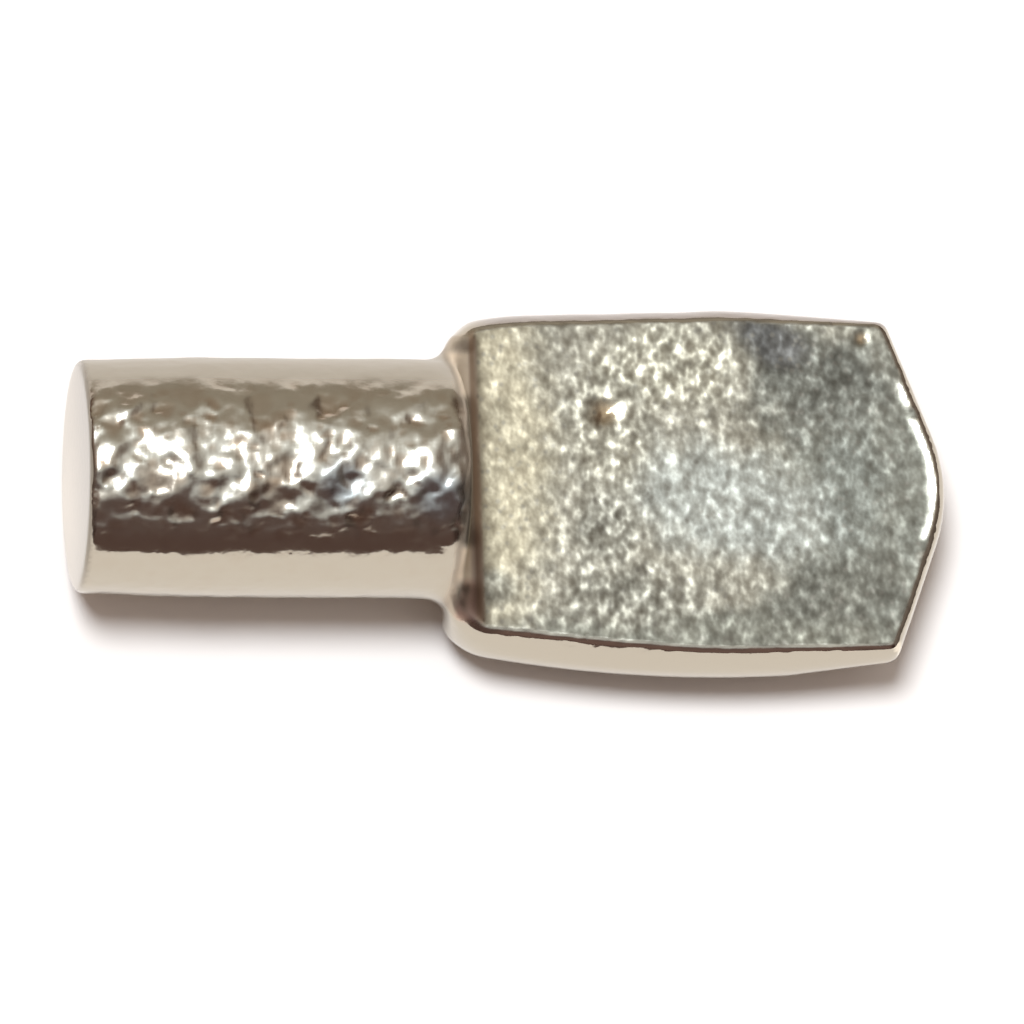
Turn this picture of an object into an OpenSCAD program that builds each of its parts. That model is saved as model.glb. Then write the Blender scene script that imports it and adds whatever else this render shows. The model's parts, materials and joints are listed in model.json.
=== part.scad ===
// Spade shelf support pin, cold formed from one length of round wire.
// The wire's round end is the pin that enters the hole in the cabinet side.
// The other end is pressed to a flat, barrel-edged head that carries the shelf.
// +X runs along the pin's axis towards the nose, and +Z is up, out of the flat face.
// The origin is where the pin's axis meets the plane of the shoulder.

/* [Pin] */
// Diameter of the pin
pin_d = 6.35; // [5:0.05:7]
// Length of the pin, from its free end to the shoulder
pin_len = 10.05; // [7:0.05:16]
// Length of the lead-in, where the pin narrows a little towards its free end
lead_len = 3; // [1:0.1:4]
// How much smaller the radius is at the start of the lead-in
lead_drop = 0.09; // [0.04:0.01:0.3]
// Rounding of the edge of the free end
end_r = 0.2; // [0.1:0.05:0.5]

/* [Head] */
// Length of the head, from the shoulder to the nose
head_len = 13.4; // [12:0.1:18]
// Greatest width of the head, over its barrelled sides
head_w = 10; // [9:0.05:13]
// Thickness of the head where the shelf sits
head_t = 2.35; // [1.8:0.05:3]
// Distance from the shoulder to the widest place
crest_x = 6.8; // [4:0.1:8]
// Plan radius of the long sides
side_r = 36; // [25:1:80]
// Plan radius of the two shoulder corners
shoulder_r = 1.2; // [0.8:0.05:1.6]
// Radius of the barrelled edge, seen in section
barrel_r = 1.8; // [1.6:0.05:3]
// Height of the head's flat underside above the pin's underside
belly_lift = 0.825; // [0.6:0.025:1.2]
// Distance from the shoulder to the end of the flat underside
belly_len = 9.1; // [6:0.1:10]

/* [Step] */
// Distance from the shoulder to the wall where the pin drops to the flat face
wall_x = 0.1; // [0:0.05:0.5]
// Fillet between that wall and the flat face
wall_fillet = 0.95; // [0.6:0.05:1.5]
// Slope of the fillet where it meets the flat face in a crisp line
crease_a = 20; // [5:1:30]
// Rounding of the pin's edge at the top of the wall
edge_r = 0.5; // [0.2:0.05:0.8]
// Fillet of the neck, between the pin and the shoulder
neck_r = 0.65; // [0.2:0.05:0.7]

/* [Tip] */
// Thickness of the head at its tip
tip_t = 1.4; // [0.8:0.05:1.7]
// Width of the flat face at the corners of the tip
tip_w = 8.9; // [6:0.05:9.6]
// How far the edge bulges past the flat face at the tip
tip_bulge = 0.2; // [0.1:0.02:0.4]
// Plan radius of the nose
nose_r = 4.2; // [2:0.1:6]
// Slope of the nose's two flanks, in degrees
flank_a = 20.5; // [10:0.5:30]
// Plan radius of the two corners of the tip
corner_r = 0.3; // [0.1:0.05:0.6]

/* [Hidden] */
$fn = 96;

pin_r = pin_d / 2;
belly_z = -pin_r + belly_lift;
face_z = belly_z + head_t;
side_c = [crest_x, head_w / 2 - side_r];
nose_c = [head_len - nose_r, 0];
fillet_c = [wall_x + wall_fillet, face_z + wall_fillet * cos(crease_a)];
face_x = fillet_c.x - wall_fillet * sin(crease_a);

// Steps along a corner, along a side or the nose, and down the barrelled edge
corner_steps = 8;
side_steps = 12;
barrel_steps = 16;
// Steps along the rounding of the pin's edge and along the fillet of the neck
edge_steps = 6;
neck_steps = 5;
// How far a solid is carried into the one that it joins
lap = 0.1;
// How far the ends of the neck's fillet sink below the faces that they meet
sink = 0.02;
// Smallest plan radius of a corner where an outline is drawn in past it
sharp_r = 0.05;
// Slope at which the barrelled edge ends, above the flat face
crown_a = 25;

function arc(c, r, a0, a1, n) =
    [for (i = [0:n]) let (a = a0 + (a1 - a0) * i / n) c + r * [cos(a), sin(a)]];

// One side of the thick part's outline, from the flat shoulder round its corner and along the side,
// where the side is drawn in by inset
function seat_side(inset) =
    let (
        r = max(shoulder_r - inset, sharp_r),
        y = side_c.y + sqrt(pow(side_r - inset - r, 2) - pow(crest_x - r, 2)),
        a = atan2(y - side_c.y, r - side_c.x),
        end_a = acos((belly_len - crest_x) / (side_r - inset))
    )
    concat(arc([r, y], r, 180, a, corner_steps), arc(side_c, side_r - inset, a, end_a, side_steps));

// Where a flank of the nose meets the side of the tip, drawn in by inset
function tip_corner(inset) =
    let (y = tip_w / 2 + tip_bulge - inset)
    [nose_c.x + (nose_r - inset) / cos(flank_a) - y * tan(flank_a), y];

// One side of the tip's outline, drawn in by inset: half the nose, a flank and a corner
function tip_side(inset) =
    let (r = max(corner_r - inset, sharp_r))
    concat(
        arc(nose_c, nose_r - inset, 0, flank_a, side_steps),
        arc(tip_corner(inset + r), r, flank_a, 90, corner_steps)
    );

// [height, inset] down a barrelled edge of radius r whose widest line is at height z
function barrel(z, r, a0, a1) =
    [for (i = [0:barrel_steps]) let (a = a0 + (a1 - a0) * i / barrel_steps)
        [z + r * cos(a), r * (1 - sin(a))]];

seat_levels = barrel(face_z - head_t / 2, barrel_r, crown_a, 180 - acos(head_t / 2 / barrel_r));
tip_r = (pow(tip_t / 2, 2) + pow(tip_bulge, 2)) / (2 * tip_bulge);
tip_a = acos(tip_t / 2 / tip_r);
tip_levels = barrel(face_z - tip_t / 2, tip_r, tip_a, 180 - tip_a);

rim_points = [
    for (side = [-1, 1]) each [
        for (level = seat_levels, p = seat_side(level[1])) [p.x, side * p.y, level[0]],
        for (level = tip_levels, p = tip_side(level[1])) [p.x, side * p.y, level[0]]
    ]
];

// The pressed head before its face is struck: the convex skin of its barrelled edges,
// drawn up to the upper half of the pin's end
module forged_head() {
    hull() {
        polyhedron(rim_points, [[for (i = [0:len(rim_points) - 1]) i]]);
        intersection() {
            rotate([0, 90, 0]) cylinder(h = wall_x, r = pin_r - edge_r - lap, $fn = 48);
            translate([0, -pin_r, face_z]) cube([wall_x, pin_d, pin_r]);
        }
    }
}

// The punch that strikes the flat face and leaves the wall with its fillet
module punch() {
    rotate([90, 0, 0]) linear_extrude(2 * head_w, center = true) {
        translate([face_x, face_z]) square([head_len, pin_d]);
        translate([wall_x, fillet_c.y]) square([head_len, pin_d]);
        intersection() {
            translate(fillet_c) circle(wall_fillet);
            translate([wall_x, face_z]) square(2 * wall_fillet);
        }
    }
}

module pin() {
    tip_radius = pin_r - lead_drop;
    rotate([0, 90, 0]) rotate_extrude() {
        polygon([
            [0, -pin_len],
            [tip_radius - end_r, -pin_len],
            [tip_radius, end_r - pin_len],
            [pin_r, lead_len - pin_len],
            each arc([pin_r - edge_r, wall_x - edge_r], edge_r, 0, 90, edge_steps),
            [0, wall_x]
        ]);
        translate([tip_radius - end_r, end_r - pin_len]) circle(end_r);
    }
}

// The fillet of the neck: a ring that ends at the height of the head's own skin.
// Its first and last steps run on at their slope into the pin and the shoulder.
module neck() {
    step_a = 90 / neck_steps;
    run = sink / tan(step_a / 2);
    intersection() {
        translate([-neck_r, 0, 0]) forged_head();
        rotate([0, 90, 0]) rotate_extrude() polygon([
            [pin_r - lap, -neck_r - run],
            [pin_r - sink, -neck_r - run],
            each arc([pin_r + neck_r, -neck_r], neck_r, 180 - step_a, 90 + step_a, neck_steps - 2),
            [pin_r + neck_r + run, sink],
            [pin_r + neck_r + run, lap],
            [pin_r - lap, lap]
        ]);
    }
}

module shelf_pin() {
    color([0.72, 0.69, 0.62]) {
        difference() {
            forged_head();
            punch();
        }
        pin();
        neck();
    }
}

shelf_pin();
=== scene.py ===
"""The looks of the shelf support pin: pitted nickel plate over cold formed steel, on a white table."""
import json
import math

import bpy
import numpy as np
from mathutils import Matrix, Vector, noise


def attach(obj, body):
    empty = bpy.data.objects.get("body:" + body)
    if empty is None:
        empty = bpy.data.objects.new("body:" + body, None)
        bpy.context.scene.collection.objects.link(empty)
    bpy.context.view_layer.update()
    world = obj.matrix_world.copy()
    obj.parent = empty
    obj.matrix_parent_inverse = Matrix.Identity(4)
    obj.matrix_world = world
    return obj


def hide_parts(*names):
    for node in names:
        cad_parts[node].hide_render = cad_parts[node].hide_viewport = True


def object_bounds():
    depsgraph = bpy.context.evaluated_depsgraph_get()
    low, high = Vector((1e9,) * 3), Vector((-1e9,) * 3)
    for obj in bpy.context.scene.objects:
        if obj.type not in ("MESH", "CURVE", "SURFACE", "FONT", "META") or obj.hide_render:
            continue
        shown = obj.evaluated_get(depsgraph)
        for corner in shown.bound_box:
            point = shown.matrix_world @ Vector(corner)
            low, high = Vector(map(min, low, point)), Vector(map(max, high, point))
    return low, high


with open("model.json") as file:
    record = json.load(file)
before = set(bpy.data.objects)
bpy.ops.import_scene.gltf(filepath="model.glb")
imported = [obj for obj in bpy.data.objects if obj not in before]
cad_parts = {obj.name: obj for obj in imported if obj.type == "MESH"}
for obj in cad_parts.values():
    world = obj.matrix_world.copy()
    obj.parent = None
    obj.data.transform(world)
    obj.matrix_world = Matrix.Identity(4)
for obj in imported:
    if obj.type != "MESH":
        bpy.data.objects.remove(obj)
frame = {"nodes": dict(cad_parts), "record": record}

MM = 0.001
NODE = "shelf_pin"
CAD_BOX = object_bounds()
MOUNTS = {m["name"]: m for m in frame["record"]["mounts"]}
PIN_R = MOUNTS["pin"]["dims"]["r_mm"]
FACE_Z = MOUNTS["shelf_seat"]["pos_m"][2] / MM
NOSE_X = CAD_BOX[1].x / MM

# Camera: where it stands, seen from the part's origin, and how it frames the part
IMAGE_PX = 1024
CAMERA_MM = 300.0
TOWARDS_END_DEG = 9.4
TOWARDS_SIDE_DEG = 13.9
ROLL_DEG = 0.42
PX_PER_MM = 37.8
ORIGIN_PX = (452.5, 479.5)
SENSOR_MM = 36.0

# ---------------------------------------------------------------- room

# The room, as colours by angle from overhead towards +Y, then what each angle towards +X multiplies
# them by
ROOM_Y = [
    (-90, (0.14, 0.088, 0.078)),
    (-40, (0.16, 0.108, 0.10)),
    (-23, (0.74, 0.77, 0.80)),
    (-8, (0.94, 0.96, 0.97)),
    (26, (0.95, 0.96, 0.95)),
    (44, (0.51, 0.465, 0.40)),
    (90, (0.43, 0.38, 0.32)),
]
ROOM_X = [
    (-90, (0.18, 0.125, 0.105)),
    (-40, (0.42, 0.31, 0.27)),
    (-14, (1.0, 1.0, 1.0)),
    (20, (1.0, 1.0, 1.0)),
    (36, (0.33, 0.27, 0.24)),
    (90, (0.13, 0.10, 0.085)),
]

# The lamp: its middle, in degrees from overhead towards +X and +Y, its width, strength and colour
LAMP = {"x_deg": -14, "y_deg": 7, "size_deg": 18, "strength": 3.3, "colour": (0.90, 1.02, 1.15)}

# The table's warm white, which the bluish lamp makes neutral, and half its side in metres
TABLE = (0.85, 0.755, 0.68)
TABLE_HALF = 4.0

# ---------------------------------------------------------------- form

# The detailed mesh: the size of its cells, how often it is smoothed, and how far a point then moves
# towards its neighbours' mean
VOXEL_MM = 0.0815
RELAX_STEPS = 10
FILLET_STEPS = 8
NECK_STEPS = 50
PULL = 0.5
# How sharply an edge may bend before it stops pulling, and what little it pulls then
CREASE = 0.025
LEAST_PULL = 0.01
# How far in mm a point has to be pulled outwards before an inner corner fills in there
FILL_MM = (0.0003, 0.002)

# Regions of the surface. Each is a product of ramps: what is measured, where the ramp is 0, where it is 1.
# x, y and z are in mm, and nx, ny and nz are the parts of the surface's normal. side is in degrees round
# the pin from its top towards -Y, and slant is y + SLANT * z. off_middle is the distance from the middle
# plane, off_face from the flat face's height, off_pin from the pin's round side and from_nose from the
# nose's edge.
SLANT = 0.25
PIN = [("x", 0.05, -0.25)]
FACE = [("nz", 0.95, 0.995), ("x", 0.56, 0.70)]
ABOVE_FACE = [("z", FACE_Z - 0.1, FACE_Z + 0.1)]
STEP = ABOVE_FACE + [("x", -0.4, -0.15), ("x", 0.75, 0.69)]
WORN_EDGE = [("z", -0.9, -0.15), ("y", -3.5, -4.1), ("x", 0.7, 1.6)]
REGIONS = {
    "inner_corner": [("x", 0.25, 0.0)],
    "neck": [("x", -1.3, -0.7), ("x", 0.7, 0.3), ("off_middle", 2.0, 2.6), ("off_pin", -0.25, -0.02)],
    "pin_side": PIN + [("nx", -0.9, -0.5)],
    "pin_top": [("side", 48, 36), ("side", -46, -14)],
    "far_side": [("side", -26, -50)],
    "pin_end": PIN + [("nx", -0.3, -0.8)],
    "upper_end": [("z", -3.2, 3.2)],
    "face": FACE,
    "face_edge": [("nz", 0.1, 0.5), ("nz", 0.99, 0.9), ("off_face", 0.35, 0.15)],
    "lip": FACE + [("from_nose", 0.62, 0.27), ("y", -2.4, -1.4), ("y", 3.1, 2.7)],
    "step": STEP,
    "crease": STEP + [("x", 0.46, 0.62)],
    "low_crease": STEP + [("x", 0.3, 0.5), ("y", -1.0, -1.6)],
    "pocket": STEP + [("slant", -2.6, -2.9), ("x", 0.0, 0.2), ("x", 0.6, 0.45)],
    "wall": STEP + [("x", -0.25, 0.0), ("x", 0.6, 0.45)],
    "low_flank": [("slant", -1.65, -1.95), ("slant", -3.0, -2.6)],
    "high_flank": [("slant", 2.1, 2.4), ("slant", 3.5, 3.3)],
    "pin_rim": ABOVE_FACE + [("x", -0.6, -0.4), ("x", 0.45, 0.2), ("nx", 0.1, 0.5), ("nx", 0.97, 0.8)],
    "low_rim": [("y", -0.4, -1.0)],
    "crown": [("ny", -0.3, -0.45), ("ny", -0.79, -0.72), ("z", -0.8, -0.5), ("x", 0.8, 1.4)],
    "upper_rim": [("ny", 0.3, 0.7), ("x", 0.4, 1.4)],
    "fuller": [("y", 1.8, 4.0), ("x", -0.7, 0.2), ("x", 3.4, 1.4)],
    "flatter": [("y", 1.8, 4.0), ("x", 3.0, 4.6), ("x", 7.6, 6.2)],
    "worn_edge": WORN_EDGE,
    "worn_most": WORN_EDGE + [("x", 1.0, 2.8), ("x", 7.0, 4.8)],
    "shoulder": [("y", -2.9, -3.6), ("x", 0.8, 0.0)],
    "skewed": [("x", -0.3, 0.5)],
}

# The head of this one was pressed a little askew: how far each region moved, by axis, and the head's turn.
# It is fuller at its +Y shoulder and flatter beyond it, the face's -Y edge is drawn in,
# and the -Y shoulder stands out a little towards the pin.
MOVES_MM = [
    ("fuller", 1, 0.11),
    ("flatter", 1, -0.07),
    ("worn_edge", 1, 0.045),
    ("worn_most", 1, 0.055),
    ("shoulder", 0, -0.15),
]
HEAD_SKEW_DEG = -0.43

# What the patterns add to the surface's height in mm, on the pin, on the face and along the face's edge
PIN_MM = {"coarse": -0.06, "small": -0.035, "swell": 0.06, "grain": 0.03, "streak": 0.085}
FACE_MM = {"swell": 0.012, "grain": 0.006, "small": -0.008}
EDGE_MM = {"grain": -0.013}
# How much of the pits there is outside the pin's top, and where on x the face's edge starts
FAINT_PITS = 0.1
EDGE_FROM_MM = 0.9
# How far points are shifted before a pattern is read, and the size of the lumps in that shift
WARP_MM = 0.2
WARP_LUMP_MM = 0.35
# How far the streaks are turned from the pin's axis, and how many times longer than wide they are
STREAK_DEG = 35
STREAK_STRETCH = 1.7
# A dimple's radius and depth, as shares of its cell: the least, how much chance may add,
# and what the cell's middle is multiplied by before its chance is read
DIMPLE_RADIUS = (0.5, 0.2, 37)
DIMPLE_DEPTH = (0.6, 0.4, 91)

# The lip that the punch left along the nose: its height, and for each gap in it the middle y
# and how far from there the lip is still gone and whole again
LIP_MM = 0.05
LIP_GAPS_MM = [(2.0, 0.08, 0.2), (-1.6, 0.1, 0.3)]
# The nose's radius in mm, and how far its arc turns before the straight flank
NOSE_R = 4.2
FLANK_DEG = 20.5

# Dents in the struck face: middle x and y, radius and depth
DENTS_MM = [(4.17, 1.9, 0.66, 0.09), (11.2, 4.05, 0.3, 0.04)]

# ---------------------------------------------------------------- colours

# The plate's colour, and its colour in the bottom of a pit and of a dent
PLATE = (0.512, 0.47, 0.388)
PIT = (0.40, 0.29, 0.20)
DENT = (0.46, 0.33, 0.20)
# How much of those colours shows there, and what the plate's is multiplied by on the pin and on the lip;
# the lip's lighter colour is a painted highlight
PIT_REACH = 0.95
DENT_REACH = 0.8
PIN_TONE = 0.96
LIP_HIGHLIGHT_TONE = 1.4

# Painted reflection: bluish spots on the pin, standing in for a bluish light mirrored there: middle x,
# middle angle round the pin, radius in mm.
# The middle part of each loses this share of its red, green and blue.
BLUE_REFLECTION_SPOTS = [(-3.4, 16, 0.9), (-0.8, 22, 1.0)]
BLUE_CORE = 0.3
BLUE_LOSS = (0.17, 0.09, -0.05)

# The struck face: what its colour multiplies the plate's by, and how strongly its bumps stand out
FACE_TONE = (0.465, 0.446, 0.41)
FACE_SPARKLE = 0.20
# Patches of it: middle x and y, half sizes in mm, turn in degrees, then tone and bumps as above.
# Their tones are partly the plate's uneven tone and partly painted reflection, lighter or darker where
# the face would mirror a brighter or darker part of the room.
FACE_TONE_AND_SHEEN_PATCHES = [
    (11.2, -0.6, 2.8, 5.0, 0, (0.324, 0.331, 0.318), 0.17),
    (7.0, -4.2, 6.0, 0.8, 0, (0.29, 0.29, 0.27), 0.17),
    (0.9, 0.8, 1.8, 4.6, 0, (0.583, 0.534, 0.44), 0.12),
    (10.0, 2.7, 2.1, 1.5, -10, (0.223, 0.226, 0.218), 0.20),
    (8.7, 3.9, 1.1, 0.6, -25, (0.166, 0.166, 0.177), 0.18),
    (10.7, -0.3, 0.9, 2.0, -5, (0.325, 0.34, 0.335), 0.17),
    (10.3, -2.9, 2.0, 0.9, 15, (0.235, 0.235, 0.222), 0.15),
    (7.3, -0.5, 3.0, 1.5, -15, (0.515, 0.535, 0.54), 0.17),
    (4.2, 1.5, 1.1, 1.9, 10, (0.485, 0.466, 0.423), 0.31),
    (4.1, -1.2, 0.9, 1.1, 0, (0.39, 0.38, 0.355), 0.31),
    (6.0, 3.3, 1.9, 1.1, 0, (0.56, 0.54, 0.485), 0.34),
    (4.6, -3.2, 1.8, 0.9, 0, (0.36, 0.35, 0.325), 0.28),
    (0.95, -2.9, 0.7, 0.5, 0, (0.34, 0.33, 0.30), 0.25),
]
# Where a patch starts and is full, as shares of its half size, and how the patterns shift its edge
PATCH_EDGE = (1.35, 0.55)
PATCH_WANDER = {"swell": 0.22, "grain": 0.12}

# Painted shade and light: where a row's parts are full, the colour is multiplied by 1 plus what they say
PAINTED_SHADE_AND_LIGHT = [
    # painted shade over the step, warmer, and deepest in its crease along the face's edge
    {"step": (0.0, -0.06, -0.10), "crease": (-0.25, -0.38, -0.46)},
    # painted light on the step's wall at the flanks, painted shade on the pin's rim over the step
    {"painted_wall_light": (0.9, 0.9, 0.9), "painted_rim_shade": (-1.0, -1.0, -1.0)},
    # painted shade deeper in the crease at -Y
    {"low_crease": (-0.5, -0.55, -0.55)},
    # the painted shade made lighter and redder in the pocket
    {"pocket": (0.26, 0.06, 0.06)},
    # painted reflection lightening the rounded edge from the face down towards -Y
    {"crown": (0.6, 0.6, 0.6)},
    # painted shade on the head's rim at +Y
    {"upper_rim": (-0.30, -0.32, -0.26)},
    # painted shade on the pin's far side, towards +Y
    {"far_side": (-0.16, -0.16, -0.16)},
    # painted light on the pin's end, with painted shade growing towards its top
    {"pin_end": (0.11, 0.10, 0.10), "upper_end": (-0.62, -0.62, -0.62)},
]
# How much painted shade darkens the pin's rim over the step, and how much more it darkens at -Y
RIM_SHADE_DEPTH = (0.10, 0.5)

# Roughness: everywhere, what each part adds, what the lip and the dents take off the face's,
# the least that is added in the step, and how much more at its flanks
ROUGH = 0.09
DULL = {"pitted": 0.17, "far_side": 0.22, "face": 0.30}
POLISHED = 0.24
STEP_DULL = 0.32
FLANK_DULL = 0.2

# Bumps: how much of the face's are left on its lip, and how strong they are on the pin
LIP_SPARKLE = 0.2
PIN_SPARKLE = 0.12

# Patterns of the material, with scales per mm: the plate's grain, the face's small bumps, its mottle
# and its dark specks
GRAIN = {"Scale": 5.0, "Detail": 1.0, "Roughness": 0.5}
GRAIN_MM = 0.03
GRAIN_STRENGTH = 0.15
BUMPS = {"Scale": 3.0, "Detail": 1.0, "Roughness": 0.55}
BUMP_SQUEEZE = (1.2, 0.9, 1.0)
BUMP_TILT = 2.0
MOTTLE = {"Scale": 0.9, "Detail": 4.0, "Roughness": 0.7}
MOTTLE_CONTRAST = 1.3
SPECKS = {"Scale": 3.6, "Randomness": 1.0}
SPECK = (0.17, 0.15, 0.12)
# A speck's core and rim, as distances in its cell, and how much of it shows in the core
SPECK_EDGE = (0.12, 0.34)
SPECK_SHARE = 0.5


# ---------------------------------------------------------------- camera

def camera_axes():
    """Unit vectors from the part's origin: towards the camera, to the picture's right and to its top."""
    a, b, roll = (math.radians(d) for d in (TOWARDS_END_DEG, TOWARDS_SIDE_DEG, ROLL_DEG))
    back = Vector((-math.sin(a), -math.sin(b) * math.cos(a), math.cos(a) * math.cos(b)))
    right = (Vector((1, 0, 0)) - back.x * back).normalized()
    up = back.cross(right)
    return (
        back,
        math.cos(roll) * right + math.sin(roll) * up,
        math.cos(roll) * up - math.sin(roll) * right,
    )


def add_camera():
    back, right, up = camera_axes()
    centre = IMAGE_PX / 2
    aim = right * (centre - ORIGIN_PX[0]) / PX_PER_MM + up * (ORIGIN_PX[1] - centre) / PX_PER_MM
    place = back * CAMERA_MM
    z_axis = (place - aim).normalized()
    x_axis = (right - right.dot(z_axis) * z_axis).normalized()
    turn = Matrix((x_axis, z_axis.cross(x_axis), z_axis)).transposed()
    data = bpy.data.cameras.new("camera")
    data.sensor_width = SENSOR_MM
    data.lens = PX_PER_MM * CAMERA_MM * SENSOR_MM / IMAGE_PX
    data.clip_start = 0.01
    data.clip_end = 100
    camera = bpy.data.objects.new("camera", data)
    camera.matrix_world = Matrix.Translation(place * MM) @ turn.to_4x4()
    bpy.context.scene.collection.objects.link(camera)
    bpy.context.scene.camera = camera


# ---------------------------------------------------------------- nodes

def add_node(tree, kind, inputs=None, **settings):
    """A shader node. inputs are {socket: value, or the output that feeds it}; settings are its own."""
    made = tree.nodes.new("ShaderNode" + kind)
    for name, value in settings.items():
        setattr(made, name, value)
    for socket, value in (inputs or {}).items():
        if isinstance(value, bpy.types.NodeSocket):
            tree.links.new(value, made.inputs[socket])
        elif isinstance(value, tuple) and len(value) == 3 and made.inputs[socket].type == "RGBA":
            made.inputs[socket].default_value = (*value, 1)
        else:
            made.inputs[socket].default_value = value
    return made


def math_node(tree, operation, a, b=0.0, clamp=False):
    return add_node(tree, "Math", {0: a, 1: b}, operation=operation, use_clamp=clamp).outputs[0]


def vector_node(tree, operation, a, b=None):
    """Vector maths. b is a second vector, or the factor where a is scaled."""
    inputs = {0: a}
    if b is not None:
        inputs[3 if operation == "SCALE" else 1] = b
    return add_node(tree, "VectorMath", inputs, operation=operation).outputs[0]


def attribute_node(tree, name, output="Fac"):
    return add_node(tree, "Attribute", attribute_name=name).outputs[output]


def ramp_node(tree, value, stops):
    """Colour by value, where stops are (value from 0 to 1, colour)."""
    made = add_node(tree, "ValToRGB", {"Fac": value})
    elements = made.color_ramp.elements
    while len(elements) > 1:
        elements.remove(elements[-1])
    for i, (place, colour) in enumerate(stops):
        element = elements[0] if i == 0 else elements.new(place)
        element.position = place
        element.color = (*colour, 1)
    return made.outputs[0]


def mix_colours(tree, share, a, b, blend="MIX"):
    made = add_node(tree, "Mix", data_type="RGBA", blend_type=blend)
    for socket, value in (("Factor_Float", share), ("A_Color", a), ("B_Color", b)):
        found = next(s for s in made.inputs if s.identifier == socket)
        if isinstance(value, bpy.types.NodeSocket):
            tree.links.new(value, found)
        else:
            found.default_value = (*value, 1) if isinstance(value, tuple) else value
    return next(s for s in made.outputs if s.identifier == "Result_Color")


# ---------------------------------------------------------------- light and table

def add_sun(name, x_deg, y_deg, size_deg, strength, colour):
    """A soft round lamp far away, whose middle is x_deg towards +X and y_deg towards +Y of overhead."""
    data = bpy.data.lights.new(name, "SUN")
    data.energy = strength
    data.angle = math.radians(size_deg)
    data.color = colour
    lamp = bpy.data.objects.new(name, data)
    towards = Vector((math.tan(math.radians(x_deg)), math.tan(math.radians(y_deg)), 1)).normalized()
    lamp.rotation_mode = "QUATERNION"
    lamp.rotation_quaternion = towards.to_track_quat("Z", "Y")
    bpy.context.scene.collection.objects.link(lamp)


def room_colour(tree, angle, stops):
    """Colour by angle in radians, where stops are (degrees from -90 to 90, colour)."""
    share = math_node(tree, "ADD", math_node(tree, "DIVIDE", angle, math.pi), 0.5, clamp=True)
    return ramp_node(tree, share, [((degrees + 90) / 180, colour) for degrees, colour in stops])


def add_world():
    """A room: bright overhead, brown at +Y, dark at -Y and at +X."""
    world = bpy.data.worlds.new("room")
    bpy.context.scene.world = world
    world.use_nodes = True
    tree = world.node_tree
    tree.nodes.clear()
    way = add_node(tree, "TexCoord").outputs["Generated"]
    axes = add_node(tree, "SeparateXYZ", {0: way}).outputs
    along_y = math_node(tree, "ARCSINE", axes["Y"])
    along_x = math_node(tree, "ARCSINE", axes["X"])
    colour = mix_colours(
        tree, 1.0, room_colour(tree, along_y, ROOM_Y), room_colour(tree, along_x, ROOM_X), "MULTIPLY"
    )
    sky = add_node(tree, "Background", {"Color": colour})
    add_node(tree, "OutputWorld", {"Surface": sky.outputs[0]})


def add_table():
    z = CAD_BOX[0].z
    mesh = bpy.data.meshes.new("table_top")
    corners = [(TABLE_HALF * i, TABLE_HALF * j, z) for i, j in ((-1, -1), (1, -1), (1, 1), (-1, 1))]
    mesh.from_pydata(corners, [], [(0, 1, 2, 3)])
    table = bpy.data.objects.new("table_top", mesh)
    bpy.context.scene.collection.objects.link(table)
    material = bpy.data.materials.new("table_white")
    material.use_nodes = True
    tree = material.node_tree
    tree.nodes.clear()
    paper = add_node(tree, "BsdfDiffuse", {"Color": TABLE})
    add_node(tree, "OutputMaterial", {"Surface": paper.outputs[0]})
    mesh.materials.append(material)


# ---------------------------------------------------------------- mesh

def fine_mesh():
    """The CAD solid's own form as an even, fine mesh."""
    piece = bpy.data.objects.new("fine", frame["nodes"][NODE].data.copy())
    bpy.context.scene.collection.objects.link(piece)
    remesh = piece.modifiers.new("remesh", "REMESH")
    remesh.mode = "VOXEL"
    remesh.voxel_size = VOXEL_MM * MM
    depsgraph = bpy.context.evaluated_depsgraph_get()
    mesh = bpy.data.meshes.new_from_object(piece.evaluated_get(depsgraph))
    bpy.data.objects.remove(piece)
    return mesh


def read_points(mesh):
    points = np.empty(len(mesh.vertices) * 3)
    mesh.vertices.foreach_get("co", points)
    return points.reshape(-1, 3) / MM


def read_normals(mesh):
    normals = np.empty(len(mesh.vertices) * 3, np.float32)
    mesh.vertex_normals.foreach_get("vector", normals)
    return normals.reshape(-1, 3).astype(float)


def write_points(mesh, points):
    mesh.vertices.foreach_set("co", (points * MM).ravel())
    mesh.update()


def read_edges(mesh):
    edges = np.empty(len(mesh.edges) * 2, np.int64)
    mesh.edges.foreach_get("vertices", edges)
    return edges.reshape(-1, 2)


def neighbour_mean(values, edges, weight):
    """Each point's mean of its neighbours' values, by the weight of the edge between them."""
    a, b = edges.T
    total = np.bincount(a, weight, len(values)) + np.bincount(b, weight, len(values))
    mean = np.empty_like(values)
    for axis in range(3):
        there = np.bincount(a, weight * values[b, axis], len(values))
        back = np.bincount(b, weight * values[a, axis], len(values))
        mean[:, axis] = there + back
    return mean / total[:, None]


def relax(mesh, edges, steps):
    """Smooths the mesh but keeps its outer edges: an edge that bends sharply pulls little."""
    points = read_points(mesh)
    a, b = edges.T
    for _ in range(steps):
        normals = read_normals(mesh)
        bend = 1 - np.einsum("ij,ij->i", normals[a], normals[b])
        weight = np.exp(-bend / CREASE) + LEAST_PULL
        points = points + PULL * (neighbour_mean(points, edges, weight) - points)
        write_points(mesh, points)


def fill_neck(mesh, edges, steps):
    """Rounds the inner corners round the neck, where metal and plating fill in."""
    points = read_points(mesh)
    weight = np.ones(len(edges))
    for _ in range(steps):
        normals = read_normals(mesh)
        move = PULL * (neighbour_mean(points, edges, weight) - points)
        outwards = np.einsum("ij,ij->i", move, normals)
        here = smooth_step(*FILL_MM, outwards) * share_of("inner_corner", {"x": points[:, 0]})
        points = points + move * here[:, None]
        write_points(mesh, points)


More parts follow.
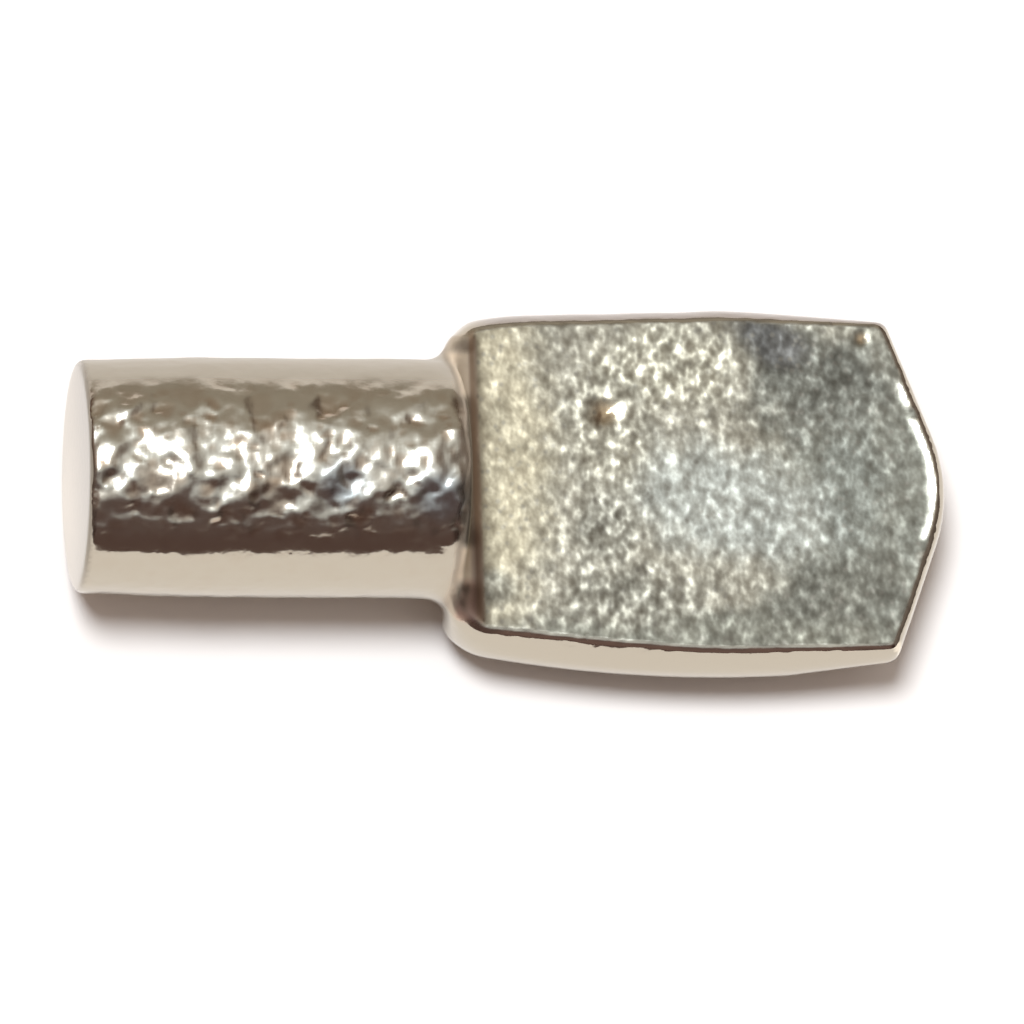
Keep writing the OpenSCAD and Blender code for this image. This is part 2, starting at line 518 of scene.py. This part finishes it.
def soften_neck(mesh, edges, steps):
    """Runs the fillet of the neck smoothly into the pin and the shoulder."""
    points = read_points(mesh)
    near = share_of("neck", measure(points, read_normals(mesh)))
    weight = np.ones(len(edges))
    for _ in range(steps):
        points = points + PULL * near[:, None] * (neighbour_mean(points, edges, weight) - points)
    write_points(mesh, points)


def press_askew(points, places):
    """Moves the points as this one's head was pressed."""
    for region, axis, distance in MOVES_MM:
        points[:, axis] += distance * share_of(region, places)
    turn = math.tan(math.radians(HEAD_SKEW_DEG))
    points[:, 1] += share_of("skewed", places) * turn * places["x"]


# ---------------------------------------------------------------- regions

def smooth_step(low, high, value):
    t = np.clip((value - low) / (high - low), 0, 1)
    return t * t * (3 - 2 * t)


def normal_parts(normals):
    return {"nx": normals[:, 0], "ny": normals[:, 1], "nz": normals[:, 2]}


def measure(points, normals):
    """What the ramps of REGIONS are set against, at each point."""
    x, y, z = points.T.copy()
    from_centre = x - NOSE_X + NOSE_R
    angle = np.clip(np.arctan2(np.abs(y), from_centre), 0, math.radians(FLANK_DEG))
    return {
        "x": x,
        "y": y,
        "z": z,
        "side": np.degrees(np.arctan2(-y, z)),
        "slant": y + SLANT * z,
        "off_middle": np.abs(y),
        "off_face": np.abs(z - FACE_Z),
        "off_pin": np.hypot(y, z) - PIN_R,
        "from_nose": NOSE_R - from_centre * np.cos(angle) - np.abs(y) * np.sin(angle),
        **normal_parts(normals),
    }


def share_of(region, places):
    """How much of a region there is at each point, from 0 to 1."""
    found = 1.0
    for what, low, high in REGIONS[region]:
        found = found * smooth_step(low, high, places[what])
    return found


def shares_before(places):
    """How much of each part of the smooth solid there is at each point."""
    pin_side = share_of("pin_side", places)
    lip = share_of("lip", places)
    for middle_y, gone, whole in LIP_GAPS_MM:
        lip = lip * smooth_step(gone, whole, np.abs(places["y"] - middle_y))
    return {
        "face": share_of("face", places),
        "face_edge": share_of("face_edge", places) * (places["x"] > EDGE_FROM_MM),
        "lip": lip,
        "pitted": pin_side * (FAINT_PITS + (1 - FAINT_PITS) * share_of("pin_top", places)),
        "far_side": pin_side * share_of("far_side", places),
    }


def shares_after(places):
    """The same for the parts where shade and light are painted into the colour, by the normals of the
    detailed surface.
    """
    flanks = share_of("low_flank", places) + share_of("high_flank", places)
    # painted shade on the pin's rim over the step, deeper at -Y
    shade_on_rim = RIM_SHADE_DEPTH[0] + RIM_SHADE_DEPTH[1] * share_of("low_rim", places)
    pin_end = share_of("pin_end", places)
    plain = ("step", "crease", "low_crease", "pocket", "crown", "upper_rim")
    return {
        **{region: share_of(region, places) for region in plain},
        "flanks": flanks,
        # painted light on the step's wall at the flanks
        "painted_wall_light": share_of("wall", places) * flanks,
        "painted_rim_shade": share_of("pin_rim", places) * shade_on_rim * (1 - flanks),
        "pin_end": pin_end,
        "upper_end": pin_end * share_of("upper_end", places),
    }


# ---------------------------------------------------------------- patterns

def lumps(points, size, seed):
    """Smooth random heights from about -1 to 1, in lumps of about size mm."""
    shift = Vector((seed * 17.3, seed * 5.1, seed * 9.7))
    return np.array([noise.noise(Vector(p) + shift) for p in points / size])


def dimples(points, size, seed):
    """Round hollows, one in each random cell of about size mm: 0 outside, 1 where the deepest is."""
    shift = Vector((seed * 11.9, seed * 3.7, seed * 7.3))
    depth = np.empty(len(points))
    for i, p in enumerate(points / size):
        away, middles = noise.voronoi(Vector(p) + shift)
        least, more, spread = DIMPLE_RADIUS
        radius = least + more * noise.cell(middles[0] * spread)
        least, more, spread = DIMPLE_DEPTH
        deepest = least + more * noise.cell(middles[0] * spread)
        depth[i] = max(0.0, 1 - (away[0] / radius) ** 2) * deepest
    return depth


def streaks(points, size, seed):
    """Lumps drawn out along the pin's upper side, askew to its axis."""
    x, y, z = points.T
    round_pin = PIN_R * np.arctan2(y, z)
    turn = math.radians(STREAK_DEG)
    along = x * math.cos(turn) + round_pin * math.sin(turn)
    across = round_pin * math.cos(turn) - x * math.sin(turn)
    return lumps(np.stack([along / STREAK_STRETCH, across, 0 * x], 1), size, seed)


# Each pattern's kind, its size in mm, its seed and its share of the warp
PATTERNS = {
    "coarse": (dimples, 0.8, 4, 1.0),
    "small": (dimples, 0.42, 5, 0.5),
    "swell": (lumps, 0.8, 6, 0.0),
    "grain": (lumps, 0.3, 7, 0.3),
    "streak": (streaks, 0.52, 8, 0.5),
}


def read_patterns(points):
    warp = np.stack([lumps(points, WARP_LUMP_MM, seed) for seed in (1, 2, 3)], 1) * WARP_MM
    return {
        name: kind(points + warp * share, size, seed)
        for name, (kind, size, seed, share) in PATTERNS.items()
    }


def mixed(patterns, amounts):
    return sum(amount * patterns[name] for name, amount in amounts.items())


def read_dents(places, face):
    """The dents' depth in mm, and how much of a dent there is, at each point."""
    depth = np.zeros(len(face))
    dent = np.zeros(len(face))
    for middle_x, middle_y, radius, deepest in DENTS_MM:
        here = face * smooth_step(radius, 0, np.hypot(places["x"] - middle_x, places["y"] - middle_y))
        depth += deepest * here
        dent = np.maximum(dent, here)
    return depth, dent


# ---------------------------------------------------------------- colours

def face_tone_and_sheen(places, patterns):
    """The struck face's colour, with its painted reflection patches, and how strongly its bumps stand out,
    at each point.
    """
    wander = mixed(patterns, PATCH_WANDER)
    colour = np.ones((len(wander), 3)) * PLATE * FACE_TONE
    sparkle = np.full(len(wander), FACE_SPARKLE)
    for middle_x, middle_y, half_x, half_y, turn, tone, bumps in FACE_TONE_AND_SHEEN_PATCHES:
        x, y = places["x"] - middle_x, places["y"] - middle_y
        c, s = math.cos(math.radians(turn)), math.sin(math.radians(turn))
        away = np.hypot((x * c + y * s) / half_x, (y * c - x * s) / half_y)
        here = smooth_step(*PATCH_EDGE, away + wander)
        colour += here[:, None] * (np.array(PLATE) * tone - colour)
        sparkle += here * (bumps - sparkle)
    return colour, sparkle


def pin_colour(places, patterns):
    pits = np.clip(PIT_REACH * np.maximum(patterns["coarse"], patterns["small"]), 0, 1)[:, None]
    colour = PIN_TONE * (np.array(PLATE) * (1 - pits) + np.array(PIT) * pits)
    # painted bluish reflections
    for middle_x, middle_deg, radius in BLUE_REFLECTION_SPOTS:
        away = np.hypot(places["x"] - middle_x, PIN_R * np.radians(places["side"] - middle_deg))
        colour *= 1 - smooth_step(radius, BLUE_CORE * radius, away)[:, None] * BLUE_LOSS
    return colour


def colour_with_painted_light(shares, pin, face):
    """The plate's colour at each point from the pin's and the struck face's, with painted shade and light
    added.
    """
    colour = np.ones((len(pin), 3)) * PLATE
    colour += shares["pitted"][:, None] * (pin - colour)
    colour += shares["face"][:, None] * (face - colour)
    # painted highlight along the nose's lip
    colour += shares["lip"][:, None] * (np.array(PLATE) * LIP_HIGHLIGHT_TONE - colour)
    colour += DENT_REACH * (shares["dent"] ** 2)[:, None] * (DENT - colour)
    for row in PAINTED_SHADE_AND_LIGHT:
        colour *= 1 + sum(shares[part][:, None] * change for part, change in row.items())
    return colour


def read_dull(shares):
    """What is added to the roughness at each point."""
    dull = mixed(shares, DULL) - POLISHED * np.maximum(shares["lip"], shares["dent"]) * shares["face"]
    return np.maximum(dull, (STEP_DULL + FLANK_DULL * shares["flanks"]) * shares["step"])


def add_value(mesh, name, values):
    attribute = mesh.attributes.new(name, "FLOAT", "POINT")
    attribute.data.foreach_set("value", values.astype(np.float32))


def add_colour(mesh, name, colour):
    attribute = mesh.attributes.new(name, "FLOAT_COLOR", "POINT")
    opaque = np.column_stack([colour, np.ones(len(colour))])
    attribute.data.foreach_set("color", opaque.astype(np.float32).ravel())


# ---------------------------------------------------------------- the pin

def shape_mesh():
    """The fine mesh of the smooth solid."""
    mesh = fine_mesh()
    edges = read_edges(mesh)
    relax(mesh, edges, RELAX_STEPS)
    fill_neck(mesh, edges, FILLET_STEPS)
    soften_neck(mesh, edges, NECK_STEPS)
    return mesh


def build_pin():
    mesh = shape_mesh()
    points, normals = read_points(mesh), read_normals(mesh)
    places = measure(points, normals)
    patterns = read_patterns(points)
    shares = shares_before(places)
    dent_mm, shares["dent"] = read_dents(places, shares["face"])

    height = shares["pitted"] * mixed(patterns, PIN_MM) + shares["face"] * mixed(patterns, FACE_MM)
    height += shares["face_edge"] * mixed(patterns, EDGE_MM) + LIP_MM * shares["lip"] - dent_mm
    points = points + normals * height[:, None]
    write_points(mesh, points)
    places.update(normal_parts(read_normals(mesh)))
    shares.update(shares_after(places))
    press_askew(points, places)
    write_points(mesh, points)

    face, sparkle = face_tone_and_sheen(places, patterns)
    sparkle = shares["face"] * (1 - (1 - LIP_SPARKLE) * shares["lip"]) * sparkle
    add_value(mesh, "struck", shares["face"])
    add_value(mesh, "sparkle", sparkle + PIN_SPARKLE * shares["pitted"])
    add_value(mesh, "dull", read_dull(shares))
    # the plate attribute holds the plating colour with painted shade, light and reflections folded in
    add_colour(mesh, "plate", colour_with_painted_light(shares, pin_colour(places, patterns), face))
    mesh.polygons.foreach_set("use_smooth", np.ones(len(mesh.polygons), bool))
    mesh.name = "shelf_pin_plated"
    mesh.materials.clear()
    mesh.materials.append(nickel())
    piece = bpy.data.objects.new("shelf_pin_plated", mesh)
    bpy.context.scene.collection.objects.link(piece)
    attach(piece, "root")
    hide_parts(NODE)


def nickel_normal(tree, where):
    """The struck face is all small bumps, each tilted its own way; there is a fainter grain everywhere."""
    grain = add_node(tree, "TexNoise", {"Vector": where, **GRAIN}).outputs[0]
    height = {"Height": grain, "Distance": GRAIN_MM * MM, "Strength": GRAIN_STRENGTH}
    bump = add_node(tree, "Bump", height).outputs[0]
    squeezed = vector_node(tree, "MULTIPLY", where, BUMP_SQUEEZE)
    bumps = add_node(tree, "TexNoise", {"Vector": squeezed, **BUMPS}).outputs[1]
    tilt = vector_node(tree, "ADD", bumps, (-0.5, -0.5, -0.5))
    strength = math_node(tree, "MULTIPLY", attribute_node(tree, "sparkle"), BUMP_TILT)
    tilt = vector_node(tree, "SCALE", tilt, strength)
    return vector_node(tree, "NORMALIZE", vector_node(tree, "ADD", bump, tilt))


def nickel_colour(tree, where):
    """The plate's colour with its painted shade and light, mottled and with dark specks on the struck
    face.
    """
    struck = attribute_node(tree, "struck")
    mottle = add_node(tree, "TexNoise", {"Vector": where, **MOTTLE}).outputs[0]
    level = math_node(tree, "MULTIPLY", math_node(tree, "SUBTRACT", mottle, 0.5), struck)
    level = math_node(tree, "ADD", 1.0, math_node(tree, "MULTIPLY", level, MOTTLE_CONTRAST))
    specks = add_node(tree, "TexVoronoi", {"Vector": where, **SPECKS}).outputs["Distance"]
    core, rim = SPECK_EDGE
    speck = add_node(tree, "MapRange", {0: specks, 1: core, 2: rim, 3: SPECK_SHARE, 4: 0.0}).outputs[0]
    speck = math_node(tree, "MULTIPLY", speck, struck)
    colour = mix_colours(tree, speck, attribute_node(tree, "plate", "Color"), SPECK)
    return vector_node(tree, "SCALE", colour, level)


def nickel():
    material = bpy.data.materials.new("nickel_plate")
    material.use_nodes = True
    tree = material.node_tree
    shader = tree.nodes["Principled BSDF"]
    shader.inputs["Metallic"].default_value = 1
    where = add_node(tree, "TexCoord").outputs["Object"]
    where = vector_node(tree, "MULTIPLY", where, (1 / MM,) * 3)
    tree.links.new(nickel_normal(tree, where), shader.inputs["Normal"])
    tree.links.new(nickel_colour(tree, where), shader.inputs["Base Color"])
    rough = math_node(tree, "ADD", ROUGH, attribute_node(tree, "dull"))
    tree.links.new(rough, shader.inputs["Roughness"])
    return material


bpy.context.scene.view_settings.view_transform = "Standard"
build_pin()
add_camera()
add_world()
add_sun("key_lamp", **LAMP)
add_table()
